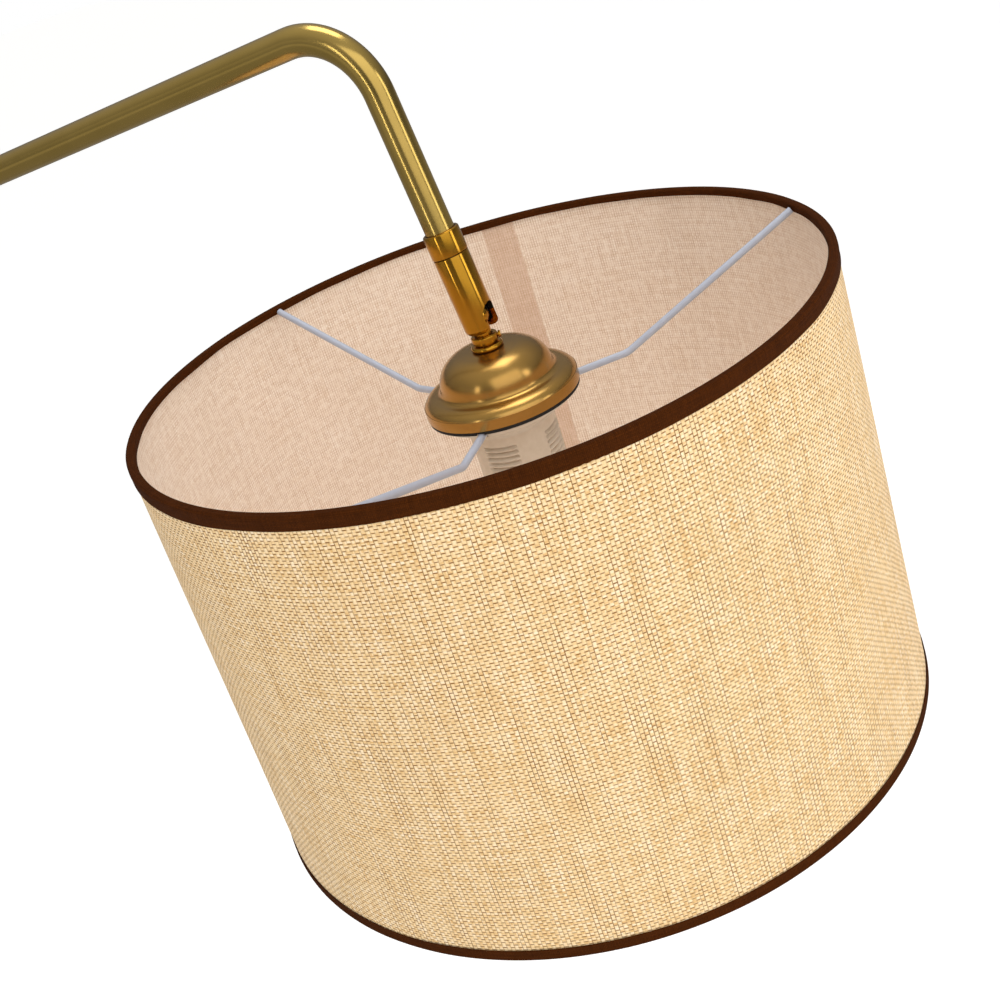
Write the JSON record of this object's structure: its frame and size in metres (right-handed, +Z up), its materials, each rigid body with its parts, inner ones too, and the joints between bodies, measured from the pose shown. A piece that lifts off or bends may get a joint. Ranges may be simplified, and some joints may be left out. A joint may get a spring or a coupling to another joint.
{
  "type": "arc floor lamp",
  "caption": "Arc floor lamp: a weighted round base, a pole with a swivelling arc, and a tapered fabric drum shade on a tilting head.",
  "frame": {"origin": "centre of the base's underside, on the pole's axis", "axes": "+Z up along the pole, +X from the pole towards the shade, +Y by the right-hand rule"},
  "size_m": [1.327, 0.4, 1.7937],
  "materials": {
    "antique_brass": "satin antique brass, lightly clouded",
    "gold_brass": "polished orange brass",
    "steel": "zinc plated steel",
    "cast_iron": "rough cast iron",
    "black_rubber": "black rubber",
    "pale_enamel": "pale grey enamel on wire",
    "white_plastic": "warm white plastic",
    "nylon": "natural nylon",
    "porcelain": "white ceramic",
    "bright_brass": "plain brass contacts",
    "frosted_glass": "frosted white glass",
    "nickel": "nickel plated cap",
    "beige_linen": "coarse beige weave",
    "peach_lining": "smooth peach lining",
    "brown_tape": "dark brown ribbed tape",
    "lead_sheath": "black sheath"
  },
  "bodies": {
    "stand": {"base_pad": "black_rubber", "base_weight": "cast_iron", "base_cover": "antique_brass", "cord_inlet": "black_rubber", "base_rod": "steel", "base_washer": "steel", "base_nut": "steel", "foot_cup": "antique_brass", "pole_plug": "steel", "pole_lower": "antique_brass", "pole_joiner": "gold_brass", "pole_upper": "antique_brass", "arc_socket": "gold_brass", "arc_bush": "nylon", "clamp_screw": "gold_brass", "pole_lead": "lead_sheath"},
    "arc": {"arc_tube": "antique_brass", "arm_joiner": "gold_brass", "arm_tube": "antique_brass", "arc_lead": "lead_sheath", "swivel_collar": "gold_brass", "swivel_axle": "steel", "axle_nut": "steel"},
    "barrel": {"swivel_barrel": "gold_brass", "knuckle_pin": "steel", "friction_washer_front": "steel", "friction_washer_back": "steel"},
    "head": {"bottom_trim": "brown_tape", "bottom_wire_ring": "steel", "bulb_cap": "nickel", "bulb_contact": "steel", "bulb_glass": "frosted_glass", "canopy": "antique_brass", "canopy_gasket": "black_rubber", "canopy_washer": "gold_brass", "centre_contact": "bright_brass", "contact_block": "porcelain", "head_lead": "lead_sheath", "knuckle_stem": "gold_brass", "lampholder_body": "white_plastic", "lampholder_cap": "white_plastic", "nut_lock_screw": "gold_brass", "screw_shell": "bright_brass", "shade_fabric": "beige_linen", "shade_lining": "peach_lining", "spider_arm_1": "pale_enamel", "spider_arm_2": "pale_enamel", "spider_arm_3": "pale_enamel", "spider_hub": "pale_enamel", "stem_nut": "gold_brass", "terminal_screw_1": "steel", "terminal_screw_2": "steel", "top_trim": "brown_tape", "top_wire_ring": "steel"}
  },
  "joints": [
    {"name": "arc_swivel", "type": "hinge", "parent": "stand", "child": "arc", "pos_m": [0, 0, 1.21], "axis": [0, 0, 1], "range_deg": [-170, 170]},
    {"name": "head_rotate", "type": "hinge", "parent": "arc", "child": "barrel", "pos_m": [0.98, 0, 1.63], "axis": [-0.1219, 0, 0.9925], "range_deg": [-250, 90]},
    {"name": "head_tilt", "type": "hinge", "parent": "barrel", "child": "head", "pos_m": [0.98, 0, 1.63], "axis": [0, -1, 0], "range_deg": [-3, 75]}
  ]
}
